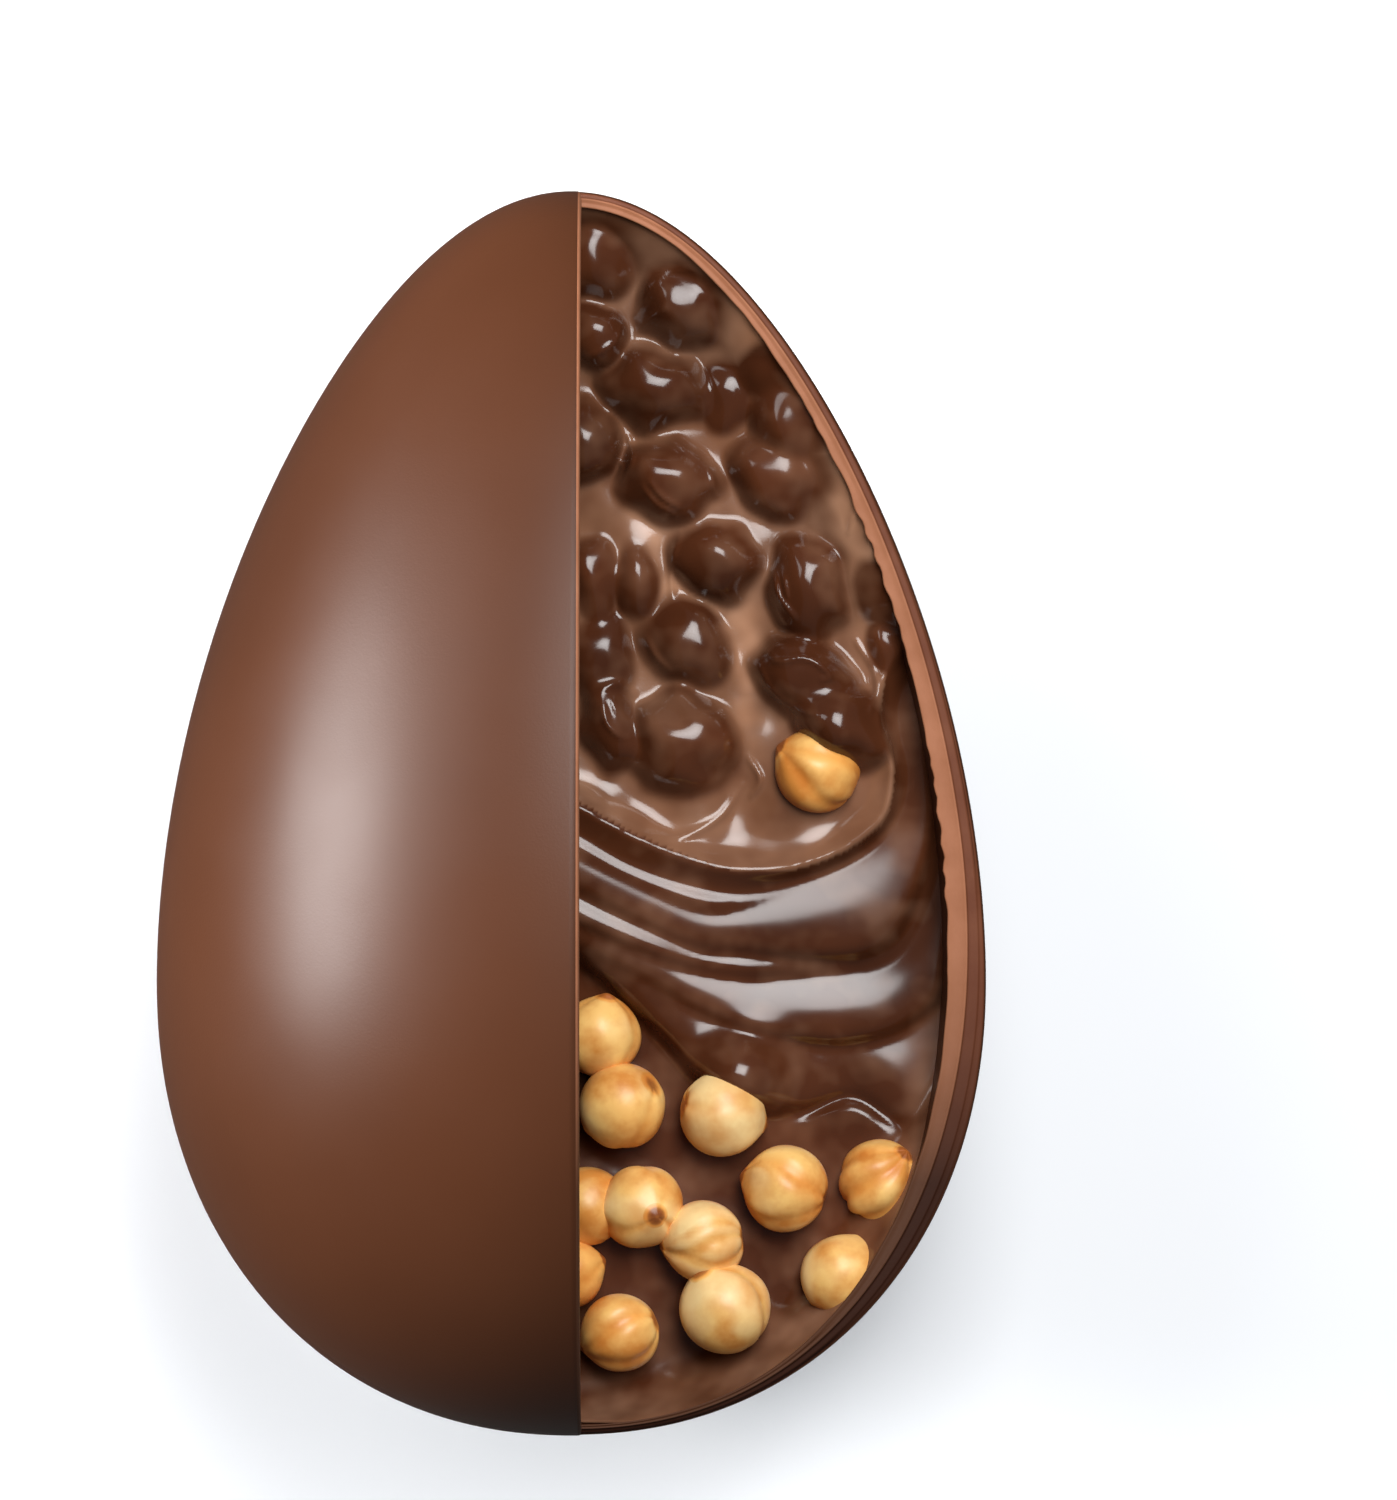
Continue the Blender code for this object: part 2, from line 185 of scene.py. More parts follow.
# Thin strands and ripples of the skin: width, rise, then (across, along) points
STRANDS = (
    (0.50, 0.55, ((10.2, 172.6), (12.0, 174.8), (14.6, 176.6))),
    (0.45, 0.50, ((9.8, 175.4), (11.6, 179.0), (14.8, 182.2), (18.6, 182.8))),
    (0.45, 0.45, ((10.6, 178.4), (12.4, 181.0))),
    (0.55, 0.70, ((11.9, 156.3), (15.0, 156.2), (18.6, 154.2), (21.6, 151.4), (22.6, 147.4))),
    (0.40, 0.45, ((11.0, 148.6), (13.2, 146.0), (16.2, 144.4))),
    (0.40, 0.45, ((12.2, 149.4), (14.4, 146.9), (17.0, 145.4))),
    (0.55, 0.60, ((6.6, 158.0), (8.8, 156.6), (9.4, 153.2), (8.0, 149.6))),
    (0.50, 0.55, ((6.4, 154.8), (7.8, 152.2), (7.2, 150.2))),
    (0.55, 0.80, ((30.6, 123.0), (32.4, 121.4), (36.0, 121.9), (38.6, 121.0), (40.6, 119.0), (39.4, 118.4))),
    (0.45, 0.60, ((29.4, 120.6), (31.0, 117.2), (34.2, 114.4), (38.4, 112.8))),
    (0.50, 0.70, ((31.6, 135.6), (32.4, 131.6), (34.8, 128.2))),
    (0.40, 0.45, ((33.2, 134.6), (33.8, 131.2))),
    (0.50, 0.60, ((11.6, 125.0), (13.2, 122.0), (15.4, 119.6))),
    (0.40, 0.45, ((7.6, 123.2), (9.2, 120.4), (8.8, 118.2))),
    (0.50, 0.70, ((4.6, 117.0), (7.4, 117.8), (9.6, 116.2))),
    (0.50, 0.60, ((4.8, 114.4), (5.6, 111.4), (7.8, 109.4))),
    (0.45, 0.50, ((6.2, 115.6), (7.4, 113.0))),
    (0.50, 0.60, ((27.6, 106.4), (29.6, 102.8), (28.2, 100.2))),
    (0.45, 0.50, ((30.0, 103.0), (28.8, 100.6))),
    (0.60, 0.60, ((26.7, 101.8), (23.2, 96.8), (17.3, 93.8), (12.2, 94.2))),
    (0.50, 0.60, ((44.6, 124.6), (47.8, 118.8), (47.0, 113.6))),
    (0.50, 0.60, ((43.4, 141.6), (44.6, 144.4), (47.0, 142.2))),
    (0.50, 0.55, ((17.0, 141.4), (15.6, 136.8), (15.8, 131.6))),
    (0.45, 0.50, ((1.8, 168.6), (6.6, 171.2), (8.2, 174.4))),
)

# Bare hazelnuts: node number, across, along, height of the centre, width, tip's direction and lift, how brown
# it is, and the grooves from tip to base, as degrees round the nut (90 is on top) with a depth
NUTS = (
    (1, 4.4, 62.4, -7.6, 12.9, 80, 15, 0.45, ((150, 0.03), (40, 0.03))),
    (2, 7.9, 51.5, -5.4, 13.8, 215, -25, 0.55, ((30, 0.03),)),
    (3, 23.6, 50.2, -6.4, 13.6, -15, -12, 0.25, ((-8, 0.07), (70, 0.02))),
    (4, 33.6, 38.6, -6.0, 13.5, 165, -5, 0.55, ((118, 0.06), (35, 0.03))),
    (5, 48.4, 39.7, -7.6, 13.0, 48, 28, 0.50, ((75, 0.07), (128, 0.06), (20, 0.04))),
    (6, 2.6, 35.7, -8.2, 12.6, 130, 0, 0.60, ((60, 0.03),)),
    (7, -0.6, 25.2, -7.2, 11.4, 20, 0, 0.75, ((120, 0.03),)),
    (8, 10.9, 35.7, -5.9, 13.1, 330, 66, 0.30, ((250, 0.05), (140, 0.04), (20, 0.03))),
    (9, 20.8, 30.2, -5.3, 12.8, 186, -4, 0.10, ((112, 0.05), (84, 0.06), (58, 0.04))),
    (10, 23.9, 19.7, -4.4, 14.5, 122, 22, 0.20, ((150, 0.05), (205, 0.04))),
    (11, 42.6, 24.6, -6.6, 13.6, 60, -10, 0.40, ((140, 0.05),)),
    (12, 7.6, 15.9, -5.8, 12.5, 200, -10, 0.65, ((100, 0.07), (40, 0.04))),
    (13, 38.6, 104.3, -6.8, 13.6, 150, 10, 0.85, ((60, 0.06), (120, 0.05))),
)
NUT_FLATNESS = 0.95
KERNEL_REACH = 0.98  # how far the kernel reaches without its tip, as a share of half the width
TIP_LENGTH, TIP_SPREAD = 0.13, 0.035
SCAR_DEPTH, SCAR_SPREAD = 0.05, 0.03  # the flat scar at the other end
GROOVE_WIDTH, GROOVE_BEND = 0.20, 0.35  # in radians, as the next two
SHOULDER_AT, SHOULDER_WIDTH = 0.42, 0.25  # a groove's raised sides
DEEP_GROOVE = 0.07  # a groove this deep is fully brown
NUT_SEGMENTS, NUT_RINGS = 64, 48

# Painted shade on the cut edge: it has this share of its colour up to the first place, and its full colour
# from the second on, so it darkens towards the blunt end. The places are in metres, on the frame's Y
PAINTED_BLUNT_SHADE = 0.26
PAINTED_BLUNT_SHADE_ALONG = (-0.058, -0.01)


# ---------------------------------------------------------------------- shapes of the egg


def egg_line(count, wall_share=0.0, extra=0.0):
    """(across, along) of the egg's outline from blunt to pointed end, inset by a share of the wall."""
    turn = np.linspace(0, math.pi, count)
    blunt = np.cos(np.minimum(turn, math.pi / 2))
    pointed = -np.cos(np.maximum(turn, math.pi / 2))
    side = np.sin(turn)
    low = side ** (2 / BLUNT_POWER)
    high = side * (1 - TAPER * pointed**TAPER_POWER)
    across = WIDTH / 2 * np.where(turn < math.pi / 2, low, high)
    along = np.where(
        turn < math.pi / 2,
        WIDEST_AT * (1 - blunt ** (2 / BLUNT_POWER)),
        WIDEST_AT + (LENGTH - WIDEST_AT) * pointed,
    )
    step_across, step_along = np.gradient(across), np.gradient(along)
    size = np.hypot(step_across, step_along)
    in_across, in_along = -step_along / size, step_across / size
    in_across[0], in_along[0] = 0, 1
    in_across[-1], in_along[-1] = 0, -1
    inset = wall_share * wall(along) + extra
    return np.maximum(across + in_across * inset, 0), along + in_along * inset


def wall(along):
    """The shell's thickness this far from the blunt end."""
    share = np.maximum(along, 0) / LENGTH / WALL_THICKEST_AT
    return WALL_ENDS + (WALL_BELLY - WALL_ENDS) * (share * np.exp(1 - share)) ** WALL_FALL


def radius_at(along, wall_share=0.0, extra=0.0):
    """The radius of the egg, or of the cavity with a wall_share of 1, this far from the blunt end."""
    across, line = egg_line(1601, wall_share, extra)
    return np.interp(along, line, across, left=0, right=0)


def smooth_line(points, count=160):
    """A Catmull-Rom curve through these points."""
    points = np.array(points, float)
    padded = np.vstack([2 * points[0] - points[1], points, 2 * points[-1] - points[-2]])
    place = np.linspace(0, len(points) - 1 - 1e-9, count)
    start = place.astype(int)
    t = (place - start)[:, None]
    a, b, c, d = (padded[start + i] for i in range(4))
    bend, twist = 2 * a - 5 * b + 4 * c - d, 3 * b - a - 3 * c + d
    return 0.5 * (2 * b + (c - a) * t + bend * t**2 + twist * t**3)


def soft_step(value, low=0.0, high=1.0):
    t = np.clip((value - low) / (high - low), 0, 1)
    return t * t * (3 - 2 * t)


def soft_max(a, b, width):
    """The larger of two heights, with a fillet of about this width between them."""
    h = np.clip(0.5 + 0.5 * (a - b) / width, 0, 1)
    return b * (1 - h) + a * h + width * h * (1 - h)


def waves(across, along, length, seed):
    """A gentle irregular swell between about -1 and 1."""
    random = np.random.default_rng(seed)
    total = 0
    for _ in range(6):
        turn = random.uniform(0, 2 * math.pi)
        size = length * random.uniform(0.7, 1.6)
        phase = random.uniform(0, 2 * math.pi)
        way = across * math.cos(turn) + along * math.sin(turn)
        total = total + np.sin(2 * math.pi * way / size + phase)
    return total / 3


# ---------------------------------------------------------------------- the cream's relief


def polar(across, along):
    """(turn, distance) from the swirl's centre. Turn is 0 towards the blunt end and grows to the right."""
    x, y = across - FOLD_CENTRE[0], FOLD_CENTRE[1] - along
    return np.degrees(np.arctan2(x, y)), np.hypot(x, y)


def swelling(level, swells, across, along):
    """This level with its slow swells."""
    for rise, length, seed in swells:
        level = level + rise * waves(across, along, length, seed)
    return level


def ellipse_reach(across, along, centre_across, centre_along, half_width, half_length, turn):
    """How far out these places are in a turned ellipse: 1 is on its line."""
    c, s = math.cos(math.radians(turn)), math.sin(math.radians(turn))
    x, y = across - centre_across, along - centre_along
    return np.hypot((x * c + y * s) / half_width, (y * c - x * s) / half_length)


def line_distance_from_centre(points, turn):
    """How far from the swirl's centre a line lies, in each direction."""
    line = smooth_line(points)
    at, out = polar(line[:, 0], line[:, 1])
    order = np.argsort(at)
    return np.interp(turn, at[order], out[order])


def fold_profile(share):
    """A fold's section from its inner crease to its outer one: a slow rise to a crest, then a steep fall."""
    rise = np.sin(math.pi / 2 * np.clip(share / CREST_SHARE, 0, 1))
    fall = np.cos(math.pi / 2 * np.clip((share - CREST_SHARE) / (1 - CREST_SHARE), 0, 1)) ** 0.7
    return np.where(share < CREST_SHARE, rise, fall)


def softened(height):
    """Evens out steps smaller than the relief's grid."""
    for _ in range(3):
        padded = np.pad(height, 1, mode="edge")
        height = (padded[:-2, 1:-1] + 2 * padded[1:-1, 1:-1] + padded[2:, 1:-1]) / 4
        padded = np.pad(height, 1, mode="edge")
        height = (padded[1:-1, :-2] + 2 * padded[1:-1, 1:-1] + padded[1:-1, 2:]) / 4
    return height


def lump_field(base, across, along, lumps):
    """Rounded nut shapes that rise through the base with a soft fillet round each.

    Also gives how far each place is covered by them.
    """
    across_warped = across + LUMP_WARP * waves(across, along, LUMP_WARP_LENGTH, 11)
    along_warped = along + LUMP_WARP * waves(across, along, LUMP_WARP_LENGTH, 12)
    cover = np.zeros_like(base)
    for *ellipse, top, fillet in lumps:
        reach = ellipse_reach(across_warped, along_warped, *ellipse)
        fillet = LUMP_FILLET * fillet
        half_size = min(ellipse[2], ellipse[3])
        depth = max(LUMP_DEPTH * half_size, top - POOL + fillet + LUMP_FOOT)
        dome = top - depth * (1 - np.sqrt(np.clip(1 - LUMP_ROUNDNESS * reach**2, 0, 1)))
        base = np.where(reach < LUMP_REACH, soft_max(dome, base, fillet), base)
        cover = np.maximum(cover, soft_step(reach, *LUMP_COVER))
    return base, cover


def pale_share(across, along):
    """How much of the pale paste shows over these places."""
    share = np.full_like(across, PALE_ELSEWHERE)
    pull = PALE_WARP * waves(across, along, PALE_WARP_LENGTH, 13)
    for *ellipse, most in PALE_PLACES:
        reach = ellipse_reach(across + pull, along - pull, *ellipse)
        share = np.maximum(share, PALE_ELSEWHERE + (most - PALE_ELSEWHERE) * np.exp(-(reach**2.2)))
    return share


def hidden_lumps():
    """The same nut shapes again for the part behind the front shell, turned over and out of step."""
    for across, along, half_width, half_length, turn, top, fillet in LUMPS:
        moved = -across + HIDDEN_SHIFT[0], along + HIDDEN_SHIFT[1]
        if radius_at(moved[1], 1.0) > abs(moved[0]) + half_width and moved[1] > HIDDEN_FROM:
            yield *moved, half_width, half_length, -turn, top, fillet


def strand_field(across, along):
    """The rise of the thin strands over these places."""
    count = 40
    rise = np.zeros_like(across)
    for width, most, points in STRANDS:
        line = smooth_line(points, count)
        low, high = line.min(0) - 3 * width, line.max(0) + 3 * width
        near = (across > low[0]) & (across < high[0]) & (along > low[1]) & (along < high[1])
        away = np.hypot(across[near][:, None] - line[:, 0], along[near][:, None] - line[:, 1])
        taper = np.sin(math.pi * (away.argmin(1) + 2) / (count + 4)) ** 0.5
        rise[near] = np.maximum(rise[near], most * taper * np.exp(-((away.min(1) / width) ** 2)))
    return rise


def wall_distance(across):
    """How far the cavity's wall is from places on the cream's grid, measured square to it."""
    edge = radius_at(ALONGS, 1.0)
    slant = np.hypot(1, np.gradient(edge, ALONGS))
    return np.maximum((edge / slant)[:, None] - np.abs(across) / slant[:, None], 0)


def fold_relief(across, along, out, lines):
    """The folds from the lip's line to the last one, and the bed beyond."""
    levels = (LIP_LEVEL,) + CREASE_LEVELS
    folds = np.full_like(across, BED)
    for i in range(len(lines) - 1):
        width = np.maximum(lines[i + 1] - lines[i], 0.05)
        share = (out - lines[i]) / width
        inside = (share >= 0) & (share < 1)
        share = np.clip(share, 0, 1)
        rise = np.minimum(FOLD_SLOPES[i] * width, FOLD_MOST)
        way = share**0.6 if i == 0 else share  # the lip's outer side is steepest at its crest
        level = levels[i] + (levels[i + 1] - levels[i]) * way + rise * fold_profile(share)
        folds = np.where(inside, level, folds)
    right = across - FOLD_CENTRE[0]
    bed = swelling(BED, BED_SWELLS, across, along) + BED_LEAN * right
    beyond = out - lines[-1]
    drop = np.clip(beyond / FOLD_END, 0, 1)
    folds = np.where(beyond >= 0, levels[-1] + (bed - levels[-1]) * drop, folds)
    folds = folds - FOLD_LEAN_MOST * np.tanh(FOLD_LEAN / FOLD_LEAN_MOST * right) * (1 - drop)
    nut_across, nut_along, reach, lift = OVER_NUT
    over_nut = np.hypot(across - nut_across, along - nut_along) / reach
    return folds + lift * np.exp(-(over_nut**2.6)) * (1 - drop)


def with_banks(height, along, to_wall):
    """The height with the banks along the wall, and each bank's share."""
    low_share, high_share = soft_step(along, *LOW_BANK_FADES), soft_step(along, *HIGH_BANK_FADES)
    low = BED + LOW_BANK_RISE * np.exp(-to_wall / LOW_BANK_REACH)
    height = soft_max(height, low * low_share + (1 - low_share) * NO_BANK, LOW_BANK_FILLET)
    high = HIGH_BANK_TOP - HIGH_BANK_SLOPE * to_wall
    height = soft_max(height, high * high_share + (1 - high_share) * NO_BANK, HIGH_BANK_FILLET)
    return height, low_share, high_share


def with_menisci(height, across, along):
    """The height with the cream drawn up a little round each bare nut."""
    for _, nut_across, nut_along, _, width, *_ in NUTS:
        away = np.hypot(across - nut_across, along - nut_along) - MENISCUS_FROM * width
        rise = MENISCUS_RISE * np.exp(-((np.maximum(away, 0) / MENISCUS_REACH) ** 1.2))
        height = height + rise * (away > -3)
    return height


def cream_relief(across, along):
    """The cream's surface over these places, and how pale it is there from 0 to 1: the pale paste, with
    painted light and a painted reflection on its banks by the wall.
    """
    turn, out = polar(across, along)
    pool = swelling(POOL, POOL_SWELLS, across, along)
    pool, cover = lump_field(pool, across, along, LUMPS + tuple(hidden_lumps()))

    lip_out = line_distance_from_centre(LIP, turn)
    lines = [lip_out]
    for i, points in enumerate(CREASES):
        nearest = lip_out + CREASE_GAP + CREASE_GAP_GROWS * i
        lines.append(np.maximum(line_distance_from_centre(points, turn), nearest))
    folds = fold_relief(across, along, out, lines)

    inner = lip_out - out
    lift = np.exp(-((np.maximum(inner, 0) / LIP_FALL) ** LIP_FALL_POWER))
    lip_share = soft_step(np.abs(turn), *LIP_ENDS)
    inside_lip = pool + (LIP_LEVEL - pool) * lift * lip_share
    to_pool = np.maximum(soft_step(turn, *FOLDS_END_RIGHT), soft_step(-turn, *FOLDS_END_LEFT))
    outside_lip = folds + (pool - folds) * to_pool
    height = np.where(inner > 0, inside_lip, outside_lip)

    to_wall = wall_distance(across)
    height, low_share, high_share = with_banks(height, along, to_wall)
    height = with_menisci(height, across, along)
    skin_across, skin_along, reach, rise = SKIN_OVER_NUT
    over_skin = np.hypot(across - skin_across, along - skin_along) / reach
    highest = HIGHEST_CREAM + rise * np.exp(-(over_skin**4))
    height = np.minimum(softened(height) + strand_field(across, along), highest)

    # painted light on the high bank in the shade by the rim, and a painted reflection on the low bank
    painted_bank_light = PAINTED_LIGHT_HIGH_BANK * high_share * soft_step(to_wall, 6, 1) * soft_step(along, 190, 170)
    shown = (pale_share(across, along) + painted_bank_light) * np.where(inner > 0, 1, to_pool)
    pale = (1 - cover) * shown + PAINTED_REFLECTION_LOW_BANK * low_share * soft_step(to_wall, 9, 2)
    return height, pale


# ---------------------------------------------------------------------- mesh helpers


def new_piece(name, points, faces, nodes, materials, face_materials=None):
    """A smooth-shaded piece from points in millimetres, with heights measured from the rim plane."""
    points = np.asarray(points, float) + (0, -LENGTH / 2, RIM_HEIGHT)
    mesh = bpy.data.meshes.new(name)
    mesh.from_pydata((points * MM).tolist(), [], faces)
    mesh.validate()
    for made in materials:
        mesh.materials.append(made)
    if face_materials is not None:
        mesh.polygons.foreach_set("material_index", np.asarray(face_materials, np.int32))
    mesh.shade_smooth()
    piece = bpy.data.objects.new(name, mesh)
    bpy.context.scene.collection.objects.link(piece)
    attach(piece, "root")
    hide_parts(*nodes)
    return piece


def grid_faces(rows, columns, closed_columns=False):
    """Quads over a grid of points, row by row."""
    faces = []
    last = columns if closed_columns else columns - 1
    for row in range(rows - 1):
        for column in range(last):
            a = row * columns + column
            b = row * columns + (column + 1) % columns
            faces.append((a, b, b + columns, a + columns))
    return faces


# ---------------------------------------------------------------------- shells


def rim_section(along):
    """The back shell's rim from outside in, as (share of the wall, extra distance inwards, height) points."""
    low = soft_step(along, 95, 45)
    outer = 0.14 + 0.10 * low
    middle = 0.42 + 0.16 * low
    return (
        (0, 0.0, -2.6), (0, 0.02, -1.9), (0, 0.12, -1.4), (0, 0.35, -1.12), (0, 0.7, -1.02),
        (outer, -0.12, -0.98), (outer, 0.0, -0.90), (outer, 0.10, -0.70), (outer, 0.28, -0.66),
        (middle, -0.30, -0.62), (middle, -0.10, -0.58), (middle, 0.0, -0.30), (middle, 0.06, -0.02),
        (middle, 0.20, 0.06), (middle, 0.38, 0.0), (middle, 0.7, -0.08), (0.5 * (middle + 1), 0.0, -0.14),
        (1, -0.7, -0.10), (1, -0.40, 0.0), (1, -0.22, 0.05), (1, -0.06, 0.0), (1, 0.05, -0.16),
        (1, 0.06, -0.5), (1, 0.0, -1.2), (1, -0.05, -2.2),
    )


def rim_rings(across, along, side, in_across, in_along):
    """The rim's rings of points, from outside in."""
    thickness = wall(along)
    scale = np.minimum(thickness / FULL_RIM_WALL, 1)
    sections = np.array([rim_section(y) for y in along])
    for k in range(sections.shape[1]):
        shares, extras, heights = sections[:, k].T
        inwards = np.clip(shares * thickness + extras * scale, 0, thickness + 1)
        if k in RIM_INNER_EDGE:
            inwards = inwards + lip_wave(along, side)
        elif k > RIM_INNER_EDGE[-1]:
            inwards = inwards + lip_wave(along, side) * 0.5
        yield np.stack([across + in_across * inwards, along + in_along * inwards, heights], 1)


def lip_wave(along, side):
    """The rim's inner edge is a little uneven, as cut chocolate is."""
    place = along + 300 * (side < 0)  # so that the two sides differ
    fade_in, fade_out = RIPPLE_FADES
    strength = soft_step(along, *fade_in) * soft_step(along, *fade_out)
    wander = 1.9 * np.sin(place / 5.3) + 1.4 * np.sin(place / 2.9 + 1)
    size = 0.13 + 0.09 * np.sin(place / 7.7 + 2)
    ripple = strength * size * np.sin(2 * math.pi * place / RIPPLE_LENGTH + wander)
    return ripple + 0.06 * np.sin(place / 1.9)


def make_back_shell(finish, rim_finish, band_finish):
    """The whole back shell as rings round a point of its floor: outer wall, rim and inner wall."""
    stations = 360
    outer_across, outer_along = egg_line(stations)
    across = np.concatenate([outer_across, -outer_across[-2:0:-1]])
    along = np.concatenate([outer_along, outer_along[-2:0:-1]])
    side = np.sign(np.concatenate([np.ones(stations), -np.ones(stations - 2)]))
    step_across = np.roll(across, -1) - np.roll(across, 1)
    step_along = np.roll(along, -1) - np.roll(along, 1)
    size = np.hypot(step_across, step_along)
    in_across, in_along = -step_along / size, step_across / size
    thickness = wall(along)
    centre = WIDEST_AT
    count = len(across)

    rings = []
    outer_rows, inner_rows = 56, 26
    for turn in np.radians(np.linspace(4, 86, outer_rows)):
        share = math.sin(turn)
        x, y = across * share, centre + (along - centre) * share
        depth = np.sqrt(np.maximum(radius_at(y) ** 2 - x**2, 0))
        rings.append(np.stack([x, y, np.maximum(-depth, -RIM_HEIGHT)], 1))
    rings += rim_rings(across, along, side, in_across, in_along)
    shallowest = 2.6  # the inner wall starts this far under the rim
    cavity_across, cavity_along = across + in_across * thickness, along + in_along * thickness
    for turn in np.radians(np.linspace(80, 6, inner_rows)):
        share = math.sin(turn)
        x, y = cavity_across * share, centre + (cavity_along - centre) * share
        depth = np.sqrt(np.maximum(radius_at(y, 1.0) ** 2 - x**2, 0))
        rings.append(np.stack([x, y, -np.maximum(depth, shallowest)], 1))

    poles = [[0, centre, -RIM_HEIGHT]], [[0, centre, -(WIDTH / 2 - WALL_BELLY)]]
    points = np.concatenate([*rings, *poles])
    first, last = len(points) - 2, len(points) - 1
    end = (len(rings) - 1) * count
    faces = grid_faces(len(rings), count, closed_columns=True)
    faces += [(first, (i + 1) % count, i) for i in range(count)]
    faces += [(last, end + i, end + (i + 1) % count) for i in range(count)]
    kinds = np.zeros(len(faces), int)
    for kind, band in ((1, RIM_FACE), (2, RIM_BAND)):
        kinds[(outer_rows + band[0]) * count : (outer_rows + band[-1] + 1) * count] = kind
    finishes = [finish, rim_finish, band_finish]
    return new_piece("egg_shell_back", points, faces, ["shell_back"], finishes, kinds)


def make_front_shell(finish, rim_finish):
    """The front shell's left part: sections across the axis, each an outer arc, the cut and an inner arc."""
    rows = 300
    arc = 90
    outer_across, outer_along = egg_line(rows)
    inner_across, inner_along = egg_line(rows, 1.0)
    edge_shares = (0.0, 0.04, 0.12, 0.30, 0.5, 0.70, 0.88, 0.96, 1.0)
    edge_pull = (0.45, 0.16, 0.03, 0.0, 0.0, 0.0, 0.03, 0.12, 0.32)
    seam_shares = (0.97, 0.75, 0.5, 0.25, 0.03)
    points = []
    for row in range(rows):
        outer_turn = arc_turns(outer_across[row], arc, CUT_AT - edge_pull[0])
        inner_turn = arc_turns(inner_across[row], arc, CUT_AT - edge_pull[-1])
        outer = arc_points(outer_across[row], outer_along[row], outer_turn)
        inner = arc_points(inner_across[row], inner_along[row], inner_turn)
        section = list(outer)
        for share, pull in list(zip(edge_shares, edge_pull))[1:-1]:
            mixed = outer[-1] + (inner[-1] - outer[-1]) * share
            mixed[0] += (edge_pull[0] - pull) * min(1, outer_across[row] / 4)
            section.append(mixed)
        section += list(inner[::-1])
        section += [outer[0] + (inner[0] - outer[0]) * share for share in seam_shares]
        points += section
    columns = len(section)
    faces = [tuple(reversed(face)) for face in grid_faces(rows, columns, closed_columns=True)]
    cut = range(arc - 1, arc + len(edge_shares) - 2)
    kinds = [1 if column in cut else 0 for _ in range(rows - 1) for column in range(columns)]
    points = np.array(points)
    points[:, 2] = np.maximum(points[:, 2], SEAM_GAP)
    piece = new_piece("egg_shell_front", points, faces, ["shell_front"], [finish, rim_finish], kinds)
    weld(piece)
    return piece


def arc_turns(radius, count, limit):
    """Angles of one section from the left rim up to the cut."""
    end = math.acos(min(limit, radius) / radius) if radius > 1e-6 else 0
    return np.linspace(math.pi, end, count)


def arc_points(radius, along, turns):
    return np.stack([radius * np.cos(turns), np.full_like(turns, along), radius * np.sin(turns)], 1)


def weld(piece):
    """Joins points that fell together at the egg's ends."""
    form = bmesh.new()
    form.from_mesh(piece.data)
    bmesh.ops.remove_doubles(form, verts=form.verts, dist=0.00001)
    bmesh.ops.dissolve_degenerate(form, edges=form.edges, dist=0.000005)
    bmesh.ops.recalc_face_normals(form, faces=form.faces)
    form.to_mesh(piece.data)
    form.free()
    piece.data.shade_smooth()


# ---------------------------------------------------------------------- cream


def make_cream(finish):
    """The cream's relief over the cavity, closed below along the cavity's wall."""
    hidden_columns, shown_columns = 40, 180
    left = -np.linspace(1, 0, hidden_columns, endpoint=False) ** 1.35
    share = np.concatenate([left, np.linspace(0, 1, shown_columns)])
    half = radius_at(ALONGS, 0.9)[:, None]
    across = share[None, :] * half
    along = np.broadcast_to(ALONGS[:, None], across.shape)
    height, pale = cream_relief(across, along)
    top = np.stack([across, along, height], 2).reshape(-1, 3)
    rows, columns = across.shape
    faces = grid_faces(rows, columns)
    loop = (
        list(range(columns))
        + [row * columns + columns - 1 for row in range(1, rows)]
        + [(rows - 1) * columns + column for column in range(columns - 2, -1, -1)]
        + [row * columns for row in range(rows - 2, 0, -1)]
    )
    count = len(loop)
    rim = top[loop]
    points = [top]
    made = len(top)
    previous = loop
    for turn in np.radians(np.linspace(74, 10, 6)):
        ring = rim.copy()
        ring[:, 0] *= math.sin(turn)
        ring[:, 1] = WIDEST_AT + (rim[:, 1] - WIDEST_AT) * math.sin(turn)
        depth = np.sqrt(np.maximum(radius_at(ring[:, 1], 1.0, 0.3) ** 2 - ring[:, 0] ** 2, 0))
        under_cream = 10 + 12.5 * math.cos(turn)  # so that the floor stays clear of the relief
        ring[:, 2] = -np.maximum(depth, under_cream)
        points.append(ring)
        current = list(range(made, made + count))
        for i in range(count):
            j = (i + 1) % count
            faces.append((previous[i], current[i], current[j], previous[j]))
        previous = current
        made += count
    points.append(np.array([[0, WIDEST_AT, -(WIDTH / 2 - WALL_BELLY - 1)]]))
    faces += [(made, previous[(i + 1) % count], previous[i]) for i in range(count)]
    piece = new_piece("nut_cream", np.concatenate(points), faces, ["filling"], [finish])
    amounts = np.zeros(len(piece.data.vertices), np.float32)
    amounts[: pale.size] = pale.reshape(-1)
    paint(piece, "pale", amounts)
    weld(piece)
    return piece


def paint(piece, name, amounts):
    """Keeps an amount for each point, which the piece's material reads."""
    layer = piece.data.attributes.new(name, "FLOAT", "POINT")
    layer.data.foreach_set("value", amounts.astype(np.float32))


# ---------------------------------------------------------------------- hazelnuts


